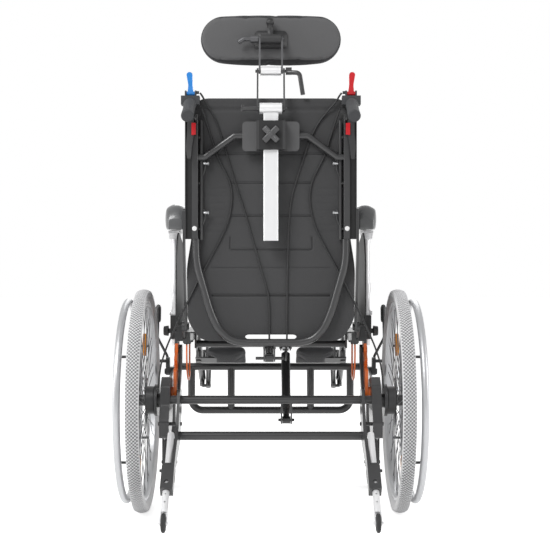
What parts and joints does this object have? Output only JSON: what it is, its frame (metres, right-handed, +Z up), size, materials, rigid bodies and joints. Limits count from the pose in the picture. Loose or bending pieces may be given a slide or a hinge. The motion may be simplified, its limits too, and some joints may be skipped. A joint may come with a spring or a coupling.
{
  "type": "tilt-in-space wheelchair",
  "caption": "Tilt-in-space wheelchair with reclining back, raised headrest, elevating legrests, drum brakes, handrims and anti-tippers; tilt, recline, wheels, levers and rests all move",
  "frame": {"origin": "middle of the bounding box on the floor, on the middle plane between the rear wheels", "axes": "+Y is the way the chair faces, +X is its right side seen from behind, +Z is up"},
  "size_m": [0.789, 1.1994, 1.3397],
  "materials": {
    "tyre": "light grey moulded tyre",
    "rim": "bright rim",
    "hub": "black hub and drum, steel spokes",
    "handrim": "satin anodised tube",
    "axle": "black brake plate and steel axle",
    "frame": "satin black powder coat",
    "caster_tyre": "grey solid tyre on a plastic hub",
    "sector": "orange coated plate",
    "link": "black coated link",
    "cushion": "charcoal upholstery over foam",
    "shell": "charcoal back cover",
    "guard": "black moulded guard",
    "tube": "satin aluminium tube",
    "pad": "soft black pad",
    "handle": "black bracket and rubber grip",
    "blue": "blue lever",
    "red": "red lever",
    "lever": "black lever with red catch",
    "headrest": "grey covered pad",
    "stem": "silver anodised stem",
    "knob": "black knob",
    "cylinder": "black gas spring cylinder",
    "rod": "polished rod",
    "footplate": "black footplate",
    "wheel": "small black wheel",
    "cable": "black cable"
  },
  "bodies": {
    "chassis": {"chassis_frame": "frame", "axles": "axle", "chassis_sectors": "sector", "anti_tip_brackets": "frame", "hub_cables": "cable"},
    "tilt_links": {"tilt_links": "link"},
    "seat": {"seat_frame": "frame", "seat_sectors": "sector", "seat_cushion": "cushion", "side_guards": "guard", "armrest_sockets": "guard", "tilt_cable_end": "cable"},
    "backrest": {"back_posts": "frame", "back_tube": "frame", "back_shell": "shell", "back_cushion": "cushion", "push_handles": "handle", "headrest_mount": "frame", "back_cables": "cable"},
    "tilt_lever": {"tilt_lever": "red"},
    "recline_lever": {"recline_lever": "blue"},
    "star_knob": {"star_knob": "knob"},
    "headrest_stem": {"headrest_stem": "stem"},
    "headrest_lower_link": {"headrest_lower_link": "tube"},
    "headrest_upper_link": {"headrest_upper_link": "tube"},
    "headrest_pad": {"headrest_pad": "headrest"},
    "tilt_spring_cylinder": {"tilt_spring_cylinder": "cylinder"},
    "tilt_spring_rod": {"tilt_spring_rod": "rod"},
    "recline_spring_cylinder": {"recline_spring_cylinder": "cylinder"},
    "recline_spring_rod": {"recline_spring_rod": "rod"},
    "wheel_left": {"tyre_left": "tyre", "rim_left": "rim", "hub_left": "hub", "handrim_left": "handrim"},
    "caster_fork_left": {"caster_fork_left": "frame"},
    "caster_wheel_left": {"caster_wheel_left": "caster_tyre"},
    "wheel_lock_left": {"wheel_lock_left": "lever"},
    "brake_lever_left": {"brake_lever_left": "lever"},
    "armrest_left": {"armrest_post_left": "tube", "armrest_pad_left": "pad"},
    "legrest_left": {"legrest_left": "frame", "calf_pad_left": "pad"},
    "footplate_left": {"footplate_left": "footplate"},
    "anti_tip_left": {"anti_tip_tube_left": "tube"},
    "anti_tip_wheel_left": {"anti_tip_wheel_left": "wheel"},
    "wheel_right": {"tyre_right": "tyre", "rim_right": "rim", "hub_right": "hub", "handrim_right": "handrim"},
    "caster_fork_right": {"caster_fork_right": "frame"},
    "caster_wheel_right": {"caster_wheel_right": "caster_tyre"},
    "wheel_lock_right": {"wheel_lock_right": "lever"},
    "brake_lever_right": {"brake_lever_right": "lever"},
    "armrest_right": {"armrest_post_right": "tube", "armrest_pad_right": "pad"},
    "legrest_right": {"legrest_right": "frame", "calf_pad_right": "pad"},
    "footplate_right": {"footplate_right": "footplate"},
    "anti_tip_right": {"anti_tip_tube_right": "tube"},
    "anti_tip_wheel_right": {"anti_tip_wheel_right": "wheel"}
  },
  "joints": [
    {"name": "tilt_swing", "type": "hinge", "parent": "chassis", "child": "tilt_links", "pos_m": [0, -0.1842, 0.318], "axis": [1, 0, 0], "range_deg": [0, 15], "deforming": ["hub_cables"]},
    {"name": "seat_roll", "type": "hinge", "parent": "tilt_links", "child": "seat", "pos_m": [0, -0.12411, 0.43102], "axis": [1, 0, 0], "range_deg": [0, 15], "deforming": ["hub_cables"]},
    {"name": "recline", "type": "hinge", "parent": "seat", "child": "backrest", "pos_m": [0, -0.2392, 0.5], "axis": [1, 0, 0], "range_deg": [0, 30], "deforming": ["hub_cables", "tilt_cable_end"]},
    {"name": "wheel_left_spin", "type": "hinge", "parent": "chassis", "child": "wheel_left", "pos_m": [-0.344, -0.2042, 0.3], "axis": [1, 0, 0], "continuous": true},
    {"name": "caster_swivel_left", "type": "hinge", "parent": "chassis", "child": "caster_fork_left", "pos_m": [-0.306, 0.1958, 0.23], "axis": [0, 0, 1], "continuous": true},
    {"name": "caster_roll_left", "type": "hinge", "parent": "caster_fork_left", "child": "caster_wheel_left", "pos_m": [-0.306, 0.1638, 0.075], "axis": [1, 0, 0], "continuous": true},
    {"name": "wheel_lock_left", "type": "hinge", "parent": "chassis", "child": "wheel_lock_left", "pos_m": [-0.3, 0.1138, 0.352], "axis": [1, 0, 0], "range_deg": [0, 30]},
    {"name": "brake_lever_left", "type": "hinge", "parent": "backrest", "child": "brake_lever_left", "pos_m": [-0.21, -0.3442, 1.048], "axis": [1, 0, 0], "range_deg": [-20, 0], "stiffness_Nm_per_rad": 0.6, "springref_deg": 2.86},
    {"name": "armrest_height_left", "type": "slide", "parent": "seat", "child": "armrest_left", "axis": [0, 0, 1], "range_m": [0, 0.045]},
    {"name": "legrest_left", "type": "hinge", "parent": "seat", "child": "legrest_left", "pos_m": [-0.228, 0.2358, 0.47], "axis": [1, 0, 0], "range_deg": [-35, 25]},
    {"name": "footplate_left", "type": "hinge", "parent": "legrest_left", "child": "footplate_left", "pos_m": [-0.208, 0.53891, 0.295], "axis": [0, 0.5, 0.866], "range_deg": [0, 90]},
    {"name": "anti_tip_length_left", "type": "slide", "parent": "chassis", "child": "anti_tip_left", "axis": [0, 0.7699, 0.6381], "range_m": [0, 0.05]},
    {"name": "anti_tip_roll_left", "type": "hinge", "parent": "anti_tip_left", "child": "anti_tip_wheel_left", "pos_m": [-0.258, -0.5762, 0.044], "axis": [1, 0, 0], "continuous": true},
    {"name": "wheel_right_spin", "type": "hinge", "parent": "chassis", "child": "wheel_right", "pos_m": [0.344, -0.2042, 0.3], "axis": [1, 0, 0], "continuous": true},
    {"name": "caster_swivel_right", "type": "hinge", "parent": "chassis", "child": "caster_fork_right", "pos_m": [0.306, 0.1958, 0.23], "axis": [0, 0, 1], "continuous": true},
    {"name": "caster_roll_right", "type": "hinge", "parent": "caster_fork_right", "child": "caster_wheel_right", "pos_m": [0.306, 0.1638, 0.075], "axis": [1, 0, 0], "continuous": true},
    {"name": "wheel_lock_right", "type": "hinge", "parent": "chassis", "child": "wheel_lock_right", "pos_m": [0.3, 0.1138, 0.352], "axis": [1, 0, 0], "range_deg": [0, 30]},
    {"name": "brake_lever_right", "type": "hinge", "parent": "backrest", "child": "brake_lever_right", "pos_m": [0.21, -0.3442, 1.048], "axis": [1, 0, 0], "range_deg": [-20, 0], "stiffness_Nm_per_rad": 0.6, "springref_deg": 2.86},
    {"name": "armrest_height_right", "type": "slide", "parent": "seat", "child": "armrest_right", "axis": [0, 0, 1], "range_m": [0, 0.045]},
    {"name": "legrest_right", "type": "hinge", "parent": "seat", "child": "legrest_right", "pos_m": [0.228, 0.2358, 0.47], "axis": [1, 0, 0], "range_deg": [-35, 25]},
    {"name": "footplate_right", "type": "hinge", "parent": "legrest_right", "child": "footplate_right", "pos_m": [0.208, 0.53891, 0.295], "axis": [0, 0.5, 0.866], "range_deg": [-90, 0]},
    {"name": "anti_tip_length_right", "type": "slide", "parent": "chassis", "child": "anti_tip_right", "axis": [0, 0.7699, 0.6381], "range_m": [0, 0.05]},
    {"name": "anti_tip_roll_right", "type": "hinge", "parent": "anti_tip_right", "child": "anti_tip_wheel_right", "pos_m": [0.258, -0.5762, 0.044], "axis": [1, 0, 0], "continuous": true},
    {"name": "tilt_lever", "type": "hinge", "parent": "backrest", "child": "tilt_lever", "pos_m": [0.21, -0.3112, 1.114], "axis": [1, 0, 0], "range_deg": [0, 25], "stiffness_Nm_per_rad": 0.4, "springref_deg": -2.86},
    {"name": "recline_lever", "type": "hinge", "parent": "backrest", "child": "recline_lever", "pos_m": [-0.21, -0.3112, 1.114], "axis": [1, 0, 0], "range_deg": [0, 25], "stiffness_Nm_per_rad": 0.4, "springref_deg": -2.86},
    {"name": "star_knob_turn", "type": "hinge", "parent": "backrest", "child": "star_knob", "pos_m": [0, -0.3692, 1.001], "axis": [0, 1, 0], "continuous": true},
    {"name": "headrest_height", "type": "slide", "parent": "backrest", "child": "headrest_stem", "axis": [0, 0, 1], "range_m": [-0.012, 0.1]},
    {"name": "headrest_low", "type": "hinge", "parent": "headrest_stem", "child": "headrest_lower_link", "pos_m": [0, -0.3412, 1.071], "axis": [1, 0, 0], "range_deg": [-10, 25]},
    {"name": "headrest_mid", "type": "hinge", "parent": "headrest_lower_link", "child": "headrest_upper_link", "pos_m": [0, -0.2992, 1.175], "axis": [1, 0, 0], "range_deg": [-20, 20]},
    {"name": "headrest_tilt", "type": "hinge", "parent": "headrest_upper_link", "child": "headrest_pad", "pos_m": [0, -0.2642, 1.266], "axis": [1, 0, 0], "range_deg": [-20, 20]},
    {"name": "tilt_spring_swing", "type": "hinge", "parent": "chassis", "child": "tilt_spring_cylinder", "pos_m": [0.042, -0.1942, 0.245], "axis": [1, 0, 0], "range_deg": [0, 15.6]},
    {"name": "tilt_spring_stroke", "type": "slide", "parent": "tilt_spring_cylinder", "child": "tilt_spring_rod", "axis": [0, 0.6661, 0.7459], "range_m": [0, 0.0262]},
    {"name": "recline_spring_swing", "type": "hinge", "parent": "backrest", "child": "recline_spring_cylinder", "pos_m": [-0.004, -0.2992, 0.42], "axis": [1, 0, 0], "range_deg": [-24.8, 0]},
    {"name": "recline_spring_stroke", "type": "slide", "parent": "recline_spring_cylinder", "child": "recline_spring_rod", "axis": [0, 0.9994, 0.0354], "range_m": [-0.047, 0]}
  ],
  "couplings": [
    {"joint": "seat_roll", "follows": "tilt_swing", "ratio": 1},
    {"joint": "tilt_spring_swing", "follows": "tilt_swing", "ratio": 1.0283},
    {"joint": "tilt_spring_stroke", "follows": "tilt_swing", "m_per_rad": 0.09822},
    {"joint": "recline_spring_swing", "follows": "recline", "ratio": -0.8197},
    {"joint": "recline_spring_stroke", "follows": "recline", "m_per_rad": -0.08671}
  ]
}
